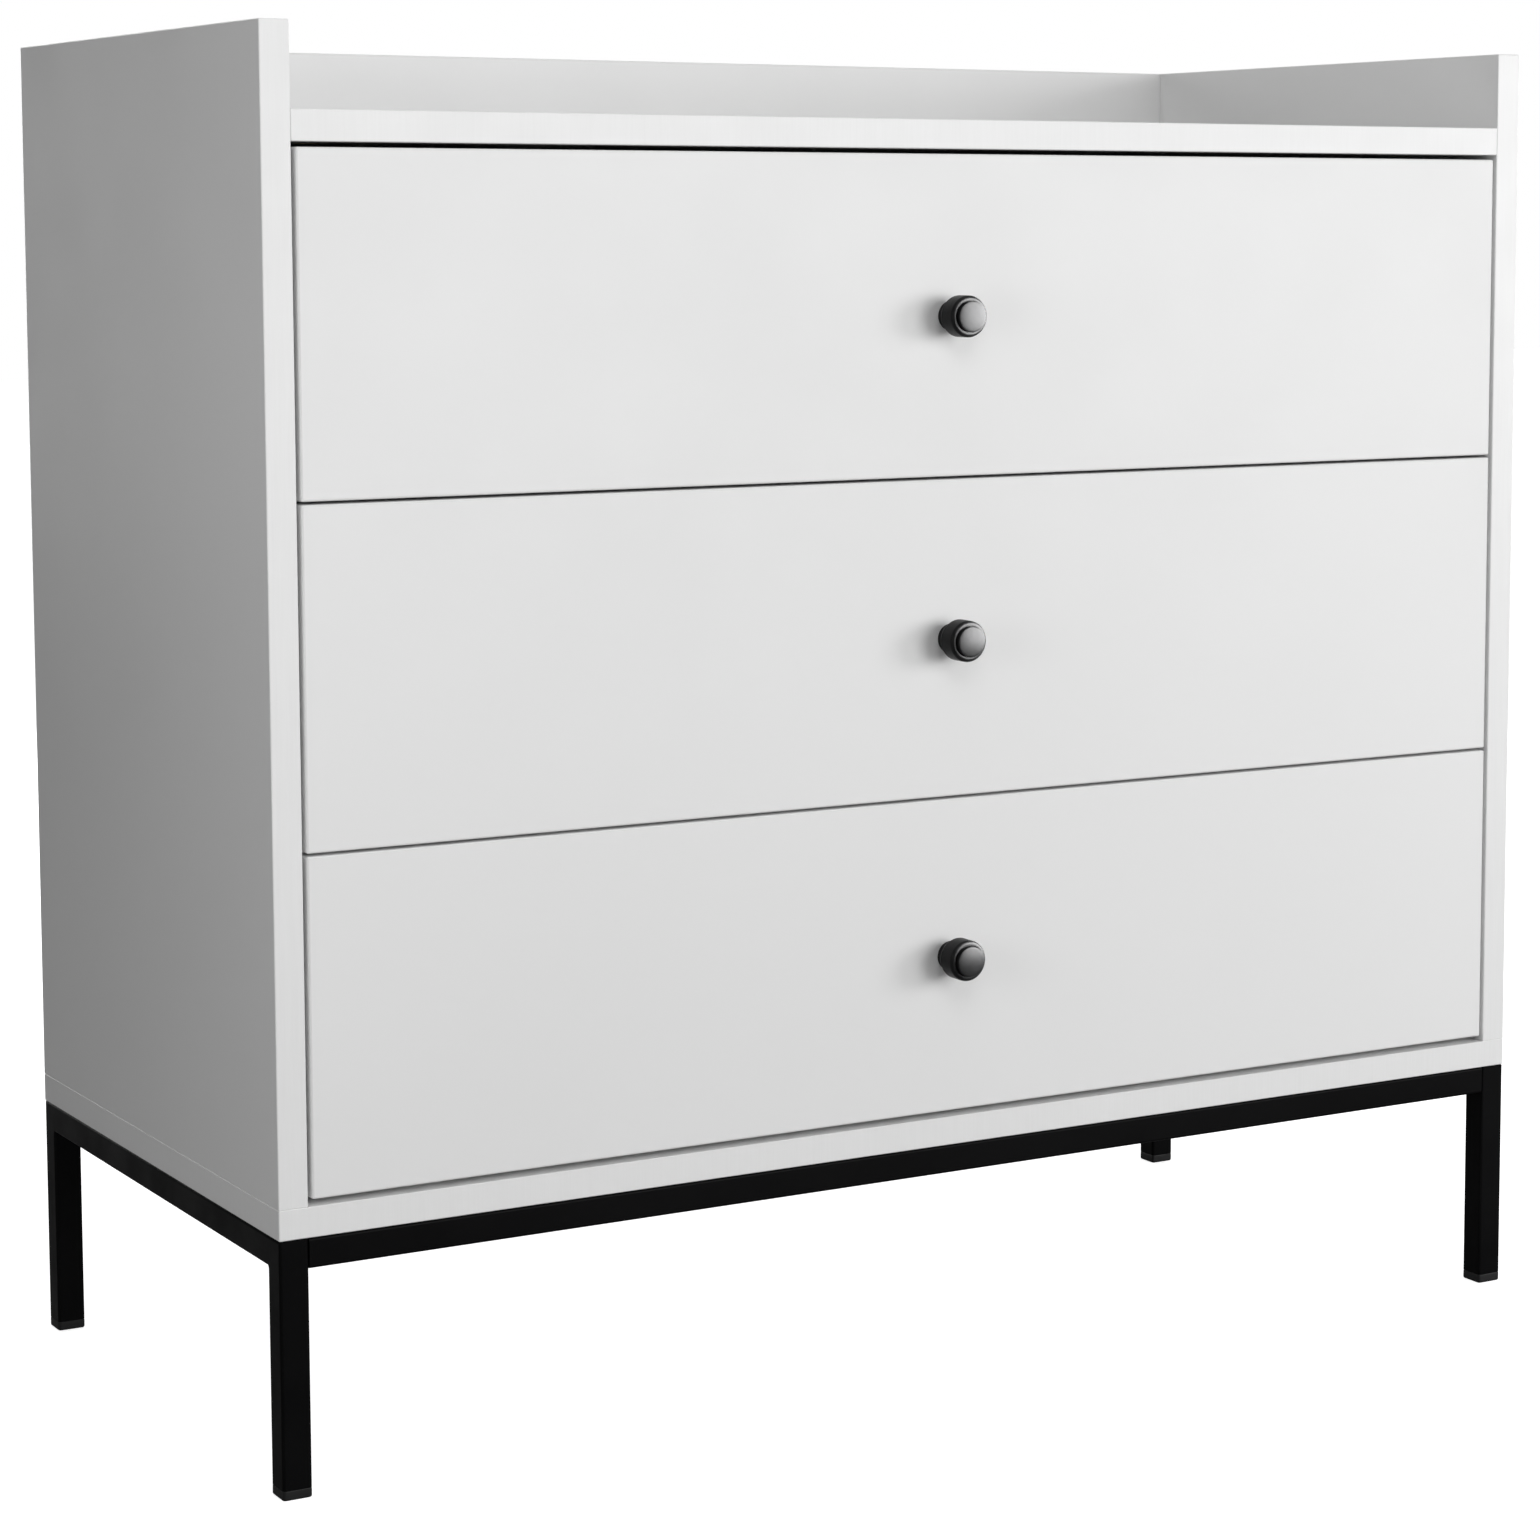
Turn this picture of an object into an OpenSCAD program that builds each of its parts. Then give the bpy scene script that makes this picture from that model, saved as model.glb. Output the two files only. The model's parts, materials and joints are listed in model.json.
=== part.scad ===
// Changing table: a chest of three drawers with a raised rim round its top, on a
// black steel leg frame. The front faces -Y, +Z is up, and the origin is on the
// floor at the centre of the bounding box, knobs included.

/* [Overall] */
// Width over the side panels
width = 895; // [700:5:1200]
// Depth over the side panels, without the knobs
depth = 412; // [340:2:520]
// Height from the floor to the top of the rim
height = 840; // [740:5:1050]

/* [Carcass] */
// Thickness of the laminated boards
board_t = 18; // [15:0.5:22]
// Height of the rim above the changing surface
rim_height = 49; // [40:1:90]
// Thickness of the hardboard back
back_t = 3; // [2.5:0.5:4]
// Depth of the groove that holds the back
groove_depth = 6; // [4:0.5:7]
// Distance from the rear edge to that groove
groove_setback = 15; // [14:0.5:24]

/* [Leg frame] */
// Height of the leg frame, feet included
base_height = 152; // [110:2:200]
// Side of the square steel tube
tube_size = 18; // [16:0.5:26]
// Wall of the tube
tube_wall = 1.5; // [1:0.1:2]
// Outer corner radius of the tube
tube_radius = 1.8; // [1.2:0.1:2.5]
// Visible height of a plastic foot
foot_height = 6; // [4:0.5:12]
// Length of the plug that holds a foot in its leg
foot_plug = 16; // [10:1:25]

/* [Drawer fronts] */
// Gap between a front and a side panel
side_gap = 2.75; // [2:0.25:4]
// Gap between the top front and the top panel
top_gap = 3; // [2:0.25:5]
// Gap between two fronts
front_gap = 1.75; // [1.5:0.25:4]
// Gap under the bottom front
bottom_gap = 4; // [2:0.25:6]

/* [Drawer boxes] */
// Thickness of a box's sides and back
box_t = 12; // [10:0.5:15]
// Height of a box above the lower edge of its front
box_lift = 14; // [8:1:20]
// Height of a front above the upper edge of its box
box_drop = 33.5; // [12:0.5:45]
// Thickness of a drawer's hardboard bottom
bottom_t = 3; // [2.5:0.5:4]
// Depth of the groove that holds that bottom
bottom_groove = 5; // [4:0.5:6]
// Height of that groove above the lower edge of the box
bottom_lift = 10; // [6:1:14]
// Free space between a closed box and the back
rear_clearance = 26; // [15:1:45]

/* [Runners] */
// Width of a runner, from the side panel to the drawer's side
runner_w = 12.7; // [12.7:0.1:14]
// Height of a runner
runner_h = 35; // [32:0.5:45]
// Height of a runner's centre above the lower edge of the box
runner_lift = 56; // [40:1:80]
// Sheet thickness of a runner
runner_sheet = 1.2; // [1:0.1:1.4]
// Diameter of the bearing balls
ball_d = 4; // [3:0.1:4.5]
// Length of the cage that holds the balls
cage_length = 90; // [60:5:120]

/* [Knobs] */
// Diameter of a knob
knob_d = 25.6; // [20:0.2:36]
// How far a knob stands out of its front
knob_projection = 26.5; // [22:0.5:32]
// Diameter of a knob's foot, against the front
foot_d = 18.4; // [10:0.2:20]
// Length of the foot's straight part
foot_length = 3.5; // [1:0.5:6]
// Length of the cone between the foot and the knob's full width
cone_length = 6; // [2:0.5:8]
// Diameter of the raised disc on the knob's face
disc_d = 19; // [14:0.2:19.8]
// Height of that disc
disc_height = 3.8; // [2:0.2:5]
// Rounding of the knob's outer edge
knob_round = 2.4; // [1:0.1:2.8]

/* [Hidden] */
$fn = 64;
eps = 0.01; // how far a cutter runs past the face that it opens

WHITE = [0.89, 0.89, 0.885];
FOIL = [0.86, 0.86, 0.85];
BLACK = [0.05, 0.05, 0.05];
ZINC = [0.72, 0.73, 0.74];
BEECH = [0.78, 0.62, 0.42];

// Clearances between pieces
fit = 0.1; // round a fastener in its hole
plug_fit = 0.25; // round a foot's plug in its leg
groove_play = 0.2; // between hardboard and each wall of its groove
edge_play = 0.5; // between hardboard and the bottom of its groove
ball_play = 0.05; // between a ball and its tracks
cage_play = 0.15; // between a ball and its hole in the cage

// Planes of the carcass
y_front = (knob_projection - depth) / 2;
y_rear = y_front + depth;
carcass_z = base_height + board_t; // upper face of the bottom panel
surface_z = height - rim_height; // the changing surface
ceiling_z = surface_z - board_t; // underside of the top panel
inner_w = width - 2 * board_t;
back_y = y_rear - groove_setback - back_t; // front face of the hardboard back
side_x = (width - board_t) / 2; // middle plane of a side panel
top_mid_z = surface_z - board_t / 2;
rim_mid_y = y_rear - board_t / 2;

// Drawers, from the top down
DRAWERS = ["top_drawer", "middle_drawer", "bottom_drawer"];
drawer_count = len(DRAWERS);
front_w = inner_w - 2 * side_gap;
front_stack = ceiling_z - carcass_z - top_gap - bottom_gap;
front_h = (front_stack - (drawer_count - 1) * front_gap) / drawer_count;
box_w = inner_w - 2 * runner_w;
box_y = y_front + board_t; // rear face of the fronts
box_depth = back_y - box_y - rear_clearance;
function front_z(i) = ceiling_z - top_gap - (i + 1) * front_h - i * front_gap;
function box_z(i) = front_z(i) + box_lift;
box_height = front_h - box_lift - box_drop;

// Cam fittings: [bore diameter, bore depth, cam centre to board edge, board thickness]
LARGE = [15, board_t * 0.7, 34, board_t];
SMALL = [12, box_t * 0.8, 24, box_t];
cam_head_gap = 0.2; // a cam's face below the board's face
bolt_head_d = 5.4;
bolt_neck_d = 3.4;
bolt_shank_d = 6;
bolt_head_reach = 1.2; // to either side of the cam's centre
bolt_thread_d = 5;
bolt_thread_length = board_t * 0.55;
bolt_shoulder = 1; // from a cam's rim to the bolt's shank
driver_slot = 1.4;

// Dowels
dowel_d = 8;
dowel_length = 30;
dowel_in_face = board_t * 0.6; // the rest is in the other board's edge
dowel_play = 1; // at each end of the hole

// Screws: [thread diameter, head diameter]
FRAME_SCREW = [4, 8];
RUNNER_SCREW = [3.5, 6.6];
BOX_SCREW = [3.5, 7];
KNOB_SCREW = [4, 8];
frame_screw_grip = board_t * 0.75; // thread in the bottom panel
frame_head_h = 2.6;
driver_access_d = 10; // hole in a rail's lower wall
runner_grip = board_t * 0.6; // thread in a side panel
box_runner_grip = box_t * 0.7; // thread in a box's side
box_screw_length = 35;
knob_grip = 12; // thread in a knob
knob_head_h = 2.4;

// Runner section, measured across from the side panel (u) and up from its centre (v)
member_gap = 2.2; // from one member's flanges to the other's web
fixed_flange = runner_w - member_gap; // reach of the fixed member's flanges
track_depth = runner_sheet / 3;
ball_u = runner_w / 2;
ball_v = runner_h / 2 - runner_sheet + track_depth - ball_play - ball_d / 2;
moving_half = ball_v - ball_d / 2 - ball_play + track_depth;
cage_sheet = 0.5;
cage_gap = 0.25; // between the cage and the fixed member's web
cage_u = runner_sheet + cage_gap;
cage_flange = 8;
ball_pitch = 17;
ball_inset = 8; // from the cage's end to its first ball
ball_count = floor((cage_length - 2 * ball_inset) / ball_pitch) + 1;
travel = box_depth - cage_length; // the cage stays inside both members
cage_y = box_y + box_depth - travel / 2 - cage_length;
screw_inset = 37; // from a runner's ends to its screws

BOARDS = [
    "left_side_panel", "right_side_panel", "top_panel", "rim_board", "bottom_panel", "back_panel"
];
FRAME = [
    "front_left_leg", "front_right_leg", "rear_left_leg", "rear_right_leg",
    "front_rail", "rear_rail", "left_rail", "right_rail", "feet"
];
FASTENERS = ["carcass_cams", "carcass_cam_bolts", "carcass_dowels", "frame_screws", "runner_screws"];
DRAWER_PIECES = [
    "front", "left_side", "right_side", "back", "bottom", "knob", "knob_screw",
    "cams", "cam_bolts", "screws", "fixed_runners", "moving_runners", "ball_cages"
];

// ---------- Shared shapes ----------

// A box between two corners
module block(low, high) {
    translate(low) cube(high - low);
}

// Turns local Z to a direction along an axis
module along(start, direction) {
    turn = direction.z != 0
        ? [direction.z > 0 ? 0 : 180, 0, 0]
        : [direction.y == 0 ? 0 : -90 * direction.y, 90 * direction.x, 0];
    translate(start) rotate(turn) children();
}

module rod(start, direction, d, length) {
    along(start, direction) cylinder(d = d, h = length);
}

// A square centred on the origin with rounded corners
module round_square(side, r) {
    square([side - 2 * r, side], center = true);
    square([side, side - 2 * r], center = true);
    for (x = [-1, 1], y = [-1, 1]) translate([x, y] * (side / 2 - r)) circle(r);
}

// Square steel tube from a point along an axis
module tube(start, direction, length) {
    along(start, direction) linear_extrude(length) difference() {
        round_square(tube_size, tube_radius);
        round_square(tube_size - 2 * tube_wall, tube_radius / 4);
    }
}

// Countersunk screw from the face of its seat, with its hole when play is given
module countersunk(start, direction, screw, length, play = 0) {
    cone = (screw[1] - screw[0]) / 2;
    along(start, direction) {
        translate([0, 0, play > 0 ? -eps : 0]) cylinder(d = screw[0] + 2 * play, h = length + play);
        cylinder(d1 = screw[1] + 2 * play, d2 = screw[0] + 2 * play, h = cone);
        if (play > 0) translate([0, 0, -eps]) cylinder(d = screw[1] + 2 * play, h = 2 * eps);
    }
}

// Puts its children at a cam: local X runs along the bolt, local Z out of the cam's bore
module at_fitting(fitting) {
    p = fitting[0];
    x = fitting[1];
    z = fitting[2];
    y = cross(z, x);
    multmatrix([
        [x.x, y.x, z.x, p.x],
        [x.y, y.y, z.y, p.y],
        [x.z, y.z, z.z, p.z],
        [0, 0, 0, 1]
    ]) children();
}

// The holes that one fitting needs in its two boards
module fitting_cutter(size) {
    mouth = size[3] / 2;
    translate([0, 0, mouth - size[1]]) cylinder(d = size[0] + 2 * fit, h = size[1] + eps);
    rod([0, 0, 0], [1, 0, 0], bolt_shank_d + 2 * fit, size[2] + fit);
    rod([size[2], 0, 0], [1, 0, 0], bolt_thread_d + 2 * fit, bolt_thread_length + fit);
}

// Cam: a disc with a pocket for the bolt's head and a cross for the driver
module cam(size) {
    face = size[3] / 2 - cam_head_gap;
    pocket = bolt_head_d / 2 + 2 * fit;
    difference() {
        translate([0, 0, size[3] / 2 - size[1]]) cylinder(d = size[0], h = size[1] - cam_head_gap);
        block([-bolt_head_reach - fit, -pocket, -pocket], [size[0], pocket, pocket]);
        for (turn = [45, 135]) rotate(turn)
            block(
                [-size[0] / 3, -driver_slot / 2, face - driver_slot],
                [size[0] / 3, driver_slot / 2, face + eps]
            );
    }
}

// Cam bolt: head, neck, shank and the thread that bites in the other board
module cam_bolt(size) {
    shank_from = size[0] / 2 + bolt_shoulder;
    rod([-bolt_head_reach, 0, 0], [1, 0, 0], bolt_head_d, 2 * bolt_head_reach);
    rod([0, 0, 0], [1, 0, 0], bolt_neck_d, shank_from);
    rod([shank_from, 0, 0], [1, 0, 0], bolt_shank_d, size[2] - shank_from);
    rod([size[2], 0, 0], [1, 0, 0], bolt_thread_d, bolt_thread_length);
}

// A dowel that crosses a joint, with its hole when play is given
module dowel(joint, into_edge, radial = 0, end = 0) {
    rod(
        joint - into_edge * (dowel_in_face + end),
        into_edge, dowel_d + 2 * radial, dowel_length + 2 * end
    );
}

// ---------- Where the carcass's fasteners sit ----------

front_inset = 60; // from the front edge to the first cam
rear_inset = 58; // from the rear edge to the last dowel
dowel_pitch = 32; // between a cam and the dowel beside it
fitting_y = [y_front + front_inset, y_rear - rear_inset - dowel_pitch];
dowel_y = [y_front + front_inset + dowel_pitch, y_rear - rear_inset];
rim_dowel_x = [-inner_w / 3, 0, inner_w / 3];
CARCASS_FITTINGS = concat(
    [for (s = [-1, 1], y = fitting_y) [
        [s * (inner_w / 2 - LARGE[2]), y, top_mid_z], [s, 0, 0], [0, 0, -1]
    ]],
    [for (s = [-1, 1], y = fitting_y) [[s * side_x, y, carcass_z + LARGE[2]], [0, 0, -1], [-s, 0, 0]]],
    [for (s = [-1, 1]) [
        [s * (inner_w / 2 - LARGE[2]), rim_mid_y, surface_z + rim_height / 2], [s, 0, 0], [0, 1, 0]
    ]]
);
CARCASS_DOWELS = concat(
    [for (s = [-1, 1], y = dowel_y) [[s * inner_w / 2, y, top_mid_z], [-s, 0, 0]]],
    [for (s = [-1, 1], y = dowel_y) [[s * side_x, y, carcass_z], [0, 0, 1]]],
    [for (x = rim_dowel_x) [[x, rim_mid_y, surface_z], [0, 0, 1]]]
);
tube_x = (width - tube_size) / 2;
tube_y = [y_front + tube_size / 2, y_rear - tube_size / 2];
rail_w = width - 2 * tube_size;
rail_d = depth - 2 * tube_size;
rail_z = base_height - tube_size / 2;
screw_seat_z = base_height - tube_wall; // inner face of a rail's upper wall
FRAME_SCREWS = concat(
    [for (x = [-1, 0, 1], y = tube_y) [x * rail_w / 3, y]],
    [for (x = [-1, 1], y = [-1, 1]) [x * tube_x, y_front + depth / 2 + y * rail_d / 6]]
);

module carcass_cutters() {
    for (f = CARCASS_FITTINGS) at_fitting(f) fitting_cutter(LARGE);
    for (d = CARCASS_DOWELS) dowel(d[0], d[1], fit, dowel_play);
}

// Room for the hardboard back in the boards round it
module back_groove() {
    reach = inner_w / 2 + groove_depth;
    block(
        [-reach, back_y - groove_play, carcass_z - groove_depth],
        [reach, back_y + back_t + groove_play, ceiling_z + groove_depth]
    );
}

// Puts its children on a runner's front end: X across from the side panel, Z up, Y back.
// Side 1 is the left runner and side -1 the right one.
module at_runner(i, side) {
    z = box_z(i) + runner_lift;
    if (side > 0) translate([-inner_w / 2, box_y, z]) children();
    else mirror([1, 0, 0]) translate([-inner_w / 2, box_y, z]) children();
}

// ---------- Boards ----------

module side_panel(s) {
    color(WHITE) difference() {
        block(
            [s * side_x - board_t / 2, y_front, carcass_z],
            [s * side_x + board_t / 2, y_rear, height]
        );
        back_groove();
        carcass_cutters();
        for (i = [0:drawer_count - 1]) at_runner(i, -s) fixed_runner_screws(fit);
    }
}

module top_panel() {
    color(WHITE) difference() {
        block([-inner_w / 2, y_front, ceiling_z], [inner_w / 2, y_rear, surface_z]);
        back_groove();
        carcass_cutters();
    }
}

module rim_board() {
    color(WHITE) difference() {
        block([-inner_w / 2, y_rear - board_t, surface_z], [inner_w / 2, y_rear, height]);
        carcass_cutters();
    }
}

module bottom_panel() {
    color(WHITE) difference() {
        block([-width / 2, y_front, base_height], [width / 2, y_rear, carcass_z]);
        back_groove();
        carcass_cutters();
        frame_screw_shapes(fit);
    }
}

module back_panel() {
    reach = groove_depth - edge_play;
    color(FOIL) block(
        [-inner_w / 2 - reach, back_y, carcass_z - reach],
        [inner_w / 2 + reach, back_y + back_t, ceiling_z + reach]
    );
}

// ---------- Leg frame ----------

module leg(s, y) {
    color(BLACK) tube([s * tube_x, y, foot_height], [0, 0, 1], base_height - foot_height);
}

// A screw's hole in the rail's upper wall and the driver's way through its lower wall
module rail_holes() {
    frame_screw_shapes(fit);
    for (p = FRAME_SCREWS)
        rod([p.x, p.y, base_height - tube_size - eps], [0, 0, 1], driver_access_d, tube_wall + 2 * eps);
}

module cross_rail(y) {
    color(BLACK) difference() {
        tube([-rail_w / 2, y, rail_z], [1, 0, 0], rail_w);
        rail_holes();
    }
}

module side_rail(s) {
    color(BLACK) difference() {
        tube([s * tube_x, y_front + tube_size, rail_z], [0, 1, 0], rail_d);
        rail_holes();
    }
}

module feet() {
    plug_side = tube_size - 2 * (tube_wall + plug_fit);
    color(BLACK) for (x = [-tube_x, tube_x], y = tube_y) translate([x, y, 0]) {
        linear_extrude(foot_height) round_square(tube_size, tube_radius);
        linear_extrude(foot_height + foot_plug) round_square(plug_side, tube_radius / 2);
    }
}

// Pan-head screws that run up through the rails, or their holes when play is given
module frame_screw_shapes(play = 0) {
    length = tube_wall + frame_screw_grip + play;
    for (p = FRAME_SCREWS)
        rod([p.x, p.y, screw_seat_z - eps], [0, 0, 1], FRAME_SCREW[0] + 2 * play, length);
}

module frame_screws() {
    color(ZINC) {
        frame_screw_shapes();
        for (p = FRAME_SCREWS)
            rod([p.x, p.y, screw_seat_z - frame_head_h], [0, 0, 1], FRAME_SCREW[1], frame_head_h);
    }
}

// ---------- Carcass fasteners ----------

module carcass_cams() {
    color(ZINC) for (f = CARCASS_FITTINGS) at_fitting(f) cam(LARGE);
}

module carcass_cam_bolts() {
    color(ZINC) for (f = CARCASS_FITTINGS) at_fitting(f) cam_bolt(LARGE);
}

module carcass_dowels() {
    color(BEECH) for (d = CARCASS_DOWELS) dowel(d[0], d[1]);
}

// ---------- Runners ----------

// The screws of one fixed member, or their holes when play is given
module fixed_runner_screws(play = 0) {
    for (y = [screw_inset, box_depth - screw_inset])
        countersunk([runner_sheet, y, 0], [-1, 0, 0], RUNNER_SCREW, runner_sheet + runner_grip, play);
}

// The screws of one moving member
module moving_runner_screws(play = 0) {
    for (y = [screw_inset, box_depth - screw_inset])
        countersunk(
            [runner_w - runner_sheet, y, 0], [1, 0, 0],
            RUNNER_SCREW, runner_sheet + box_runner_grip, play
        );
}

module runner_screws() {
    color(ZINC) for (i = [0:drawer_count - 1], side = [-1, 1])
        at_runner(i, side) fixed_runner_screws();
}

// Two rows of balls: their places across and along the runner, measured from y
module at_balls(y) {
    for (v = [-ball_v, ball_v], k = [0:ball_count - 1])
        translate([ball_u, y + ball_inset + k * ball_pitch, v]) children();
}

// A section drawn in u and v, run along the whole runner
module runner_section(length) {
    translate([0, length, 0]) rotate([90, 0, 0]) linear_extrude(length) children();
}

module ball_tracks() {
    for (v = [-ball_v, ball_v]) translate([ball_u, v]) circle(d = ball_d + 2 * ball_play);
}

module fixed_member() {
    difference() {
        runner_section(box_depth) difference() {
            translate([0, -runner_h / 2]) square([fixed_flange, runner_h]);
            translate([runner_sheet, runner_sheet - runner_h / 2])
                square([runner_w, runner_h - 2 * runner_sheet]);
            ball_tracks();
        }
        fixed_runner_screws(fit);
    }
}

module moving_member() {
    inner_half = moving_half - runner_sheet;
    difference() {
        runner_section(box_depth) difference() {
            translate([member_gap, -moving_half]) square([fixed_flange, 2 * moving_half]);
            translate([0, -inner_half]) square([runner_w - runner_sheet, 2 * inner_half]);
            ball_tracks();
        }
        moving_runner_screws(fit);
    }
}

module ball_cage() {
    half = ball_v + cage_sheet / 2;
    difference() {
        runner_section(cage_length) difference() {
            translate([cage_u, -half]) square([cage_flange, 2 * half]);
            translate([cage_u + cage_sheet, cage_sheet - half])
                square([cage_flange, 2 * (half - cage_sheet)]);
        }
        at_balls(0) cylinder(d = ball_d + 2 * cage_play, h = ball_d, center = true);
    }
    at_balls(0) sphere(d = ball_d);
}

module fixed_runners(i) {
    color(ZINC) for (side = [-1, 1]) at_runner(i, side) fixed_member();
}

module moving_runners(i) {
    color(ZINC) for (side = [-1, 1]) at_runner(i, side) moving_member();
}

module ball_cages(i) {
    color(ZINC) for (side = [-1, 1]) at_runner(i, side)
        translate([0, cage_y - box_y, 0]) ball_cage();
}

// ---------- Drawer boxes ----------

box_side_x = (box_w - box_t) / 2; // middle plane of a box's side
box_inner = box_w / 2 - box_t; // inner face of a box's side
box_rear = box_y + box_depth;
panel_rise = bottom_lift + bottom_t; // upper face of a drawer's bottom
fitting_inset = 30; // from a box's edges to its cams
back_screw_inset = 25; // from a box back's edges to its screws

// Fittings between the sides and the front of drawer i
function box_fittings(i) = [
    for (s = [-1, 1], z = [box_z(i) + fitting_inset, box_z(i) + box_height - fitting_inset])
        [[s * box_side_x, box_y + SMALL[2], z], [0, -1, 0], [-s, 0, 0]]
];

module box_fitting_cutters(i) {
    for (f = box_fittings(i)) at_fitting(f) fitting_cutter(SMALL);
}

// Screws that run through the sides into the ends of the back
module box_screw_shapes(i, play = 0) {
    for (s = [-1, 1], z = [panel_rise + back_screw_inset, box_height - back_screw_inset])
        countersunk(
            [s * box_w / 2, box_rear - box_t / 2, box_z(i) + z], [-s, 0, 0],
            BOX_SCREW, box_screw_length, play
        );
}

// Room for the drawer's bottom in the front and the sides
module bottom_cutter(i) {
    z = box_z(i) + bottom_lift;
    block(
        [-box_inner - bottom_groove, box_y - bottom_groove, z - groove_play],
        [box_inner + bottom_groove, box_rear + eps, z + bottom_t + groove_play]
    );
}

module drawer_front(i) {
    hole_d = KNOB_SCREW[0] + 2 * fit;
    color(WHITE) difference() {
        block([-front_w / 2, y_front, front_z(i)], [front_w / 2, box_y, front_z(i) + front_h]);
        rod([0, y_front - eps, front_z(i) + front_h / 2], [0, 1, 0], hole_d, board_t + 2 * eps);
        box_fitting_cutters(i);
        bottom_cutter(i);
    }
}

module drawer_side(i, s) {
    color(WHITE) difference() {
        block(
            [s * box_side_x - box_t / 2, box_y, box_z(i)],
            [s * box_side_x + box_t / 2, box_rear, box_z(i) + box_height]
        );
        box_fitting_cutters(i);
        bottom_cutter(i);
        box_screw_shapes(i, fit);
        at_runner(i, -s) moving_runner_screws(fit);
    }
}

// The back stands on the bottom, which slides in under it
module drawer_back(i) {
    color(WHITE) difference() {
        block(
            [-box_inner, box_rear - box_t, box_z(i) + panel_rise],
            [box_inner, box_rear, box_z(i) + box_height]
        );
        box_screw_shapes(i, fit);
    }
}

module drawer_bottom(i) {
    reach = bottom_groove - edge_play;
    color(FOIL) block(
        [-box_inner - reach, box_y - reach, box_z(i) + bottom_lift],
        [box_inner + reach, box_rear, box_z(i) + panel_rise]
    );
}

module drawer_cams(i) {
    color(ZINC) for (f = box_fittings(i)) at_fitting(f) cam(SMALL);
}

module drawer_cam_bolts(i) {
    color(ZINC) for (f = box_fittings(i)) at_fitting(f) cam_bolt(SMALL);
}

module drawer_screws(i) {
    color(ZINC) {
        box_screw_shapes(i);
        for (side = [-1, 1]) at_runner(i, side) moving_runner_screws();
    }
}

// ---------- Knobs ----------

// Half section: radius across, distance from the front up
module knob_section() {
    r = knob_d / 2;
    end = knob_projection - disc_height;
    polygon([
        [0, 0], [foot_d / 2, 0], [foot_d / 2, foot_length], [r, foot_length + cone_length],
        [r, end - knob_round], [r - knob_round, end], [0, end]
    ]);
    translate([r - knob_round, end - knob_round]) circle(knob_round);
    square([disc_d / 2, knob_projection]);
}

module knob(i) {
    color(BLACK) along([0, y_front, front_z(i) + front_h / 2], [0, -1, 0]) difference() {
        rotate_extrude() knob_section();
        translate([0, 0, -eps]) cylinder(d = KNOB_SCREW[0] + 2 * fit, h = knob_grip + fit + eps);
    }
}

module knob_screw(i) {
    color(ZINC) along([0, box_y, front_z(i) + front_h / 2], [0, -1, 0]) {
        cylinder(d = KNOB_SCREW[0], h = board_t + knob_grip);
        translate([0, 0, -knob_head_h]) cylinder(d = KNOB_SCREW[1], h = knob_head_h);
    }
}

// ---------- The assembly ----------

side_panel(-1);  // left_side_panel
side_panel(1);  // right_side_panel
top_panel();
rim_board();
bottom_panel();
back_panel();
leg(-1, tube_y[0]);  // front_left_leg
leg(1, tube_y[0]);  // front_right_leg
leg(-1, tube_y[1]);  // rear_left_leg
leg(1, tube_y[1]);  // rear_right_leg
cross_rail(tube_y[0]);  // front_rail
cross_rail(tube_y[1]);  // rear_rail
side_rail(-1);  // left_rail
side_rail(1);  // right_rail
feet();
carcass_cams();
carcass_cam_bolts();
carcass_dowels();
frame_screws();
runner_screws();
for (i = [0:drawer_count - 1]) {
    name = DRAWERS[i];
    drawer_front(i);
    drawer_side(i, -1);
    drawer_side(i, 1);
    drawer_back(i);
    drawer_bottom(i);
    knob(i);
    knob_screw(i);
    drawer_cams(i);
    drawer_cam_bolts(i);
    drawer_screws(i);
    fixed_runners(i);
    moving_runners(i);
    ball_cages(i);
}
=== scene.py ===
import json
import math

import bmesh
import bpy
from mathutils import Matrix, Vector

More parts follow.
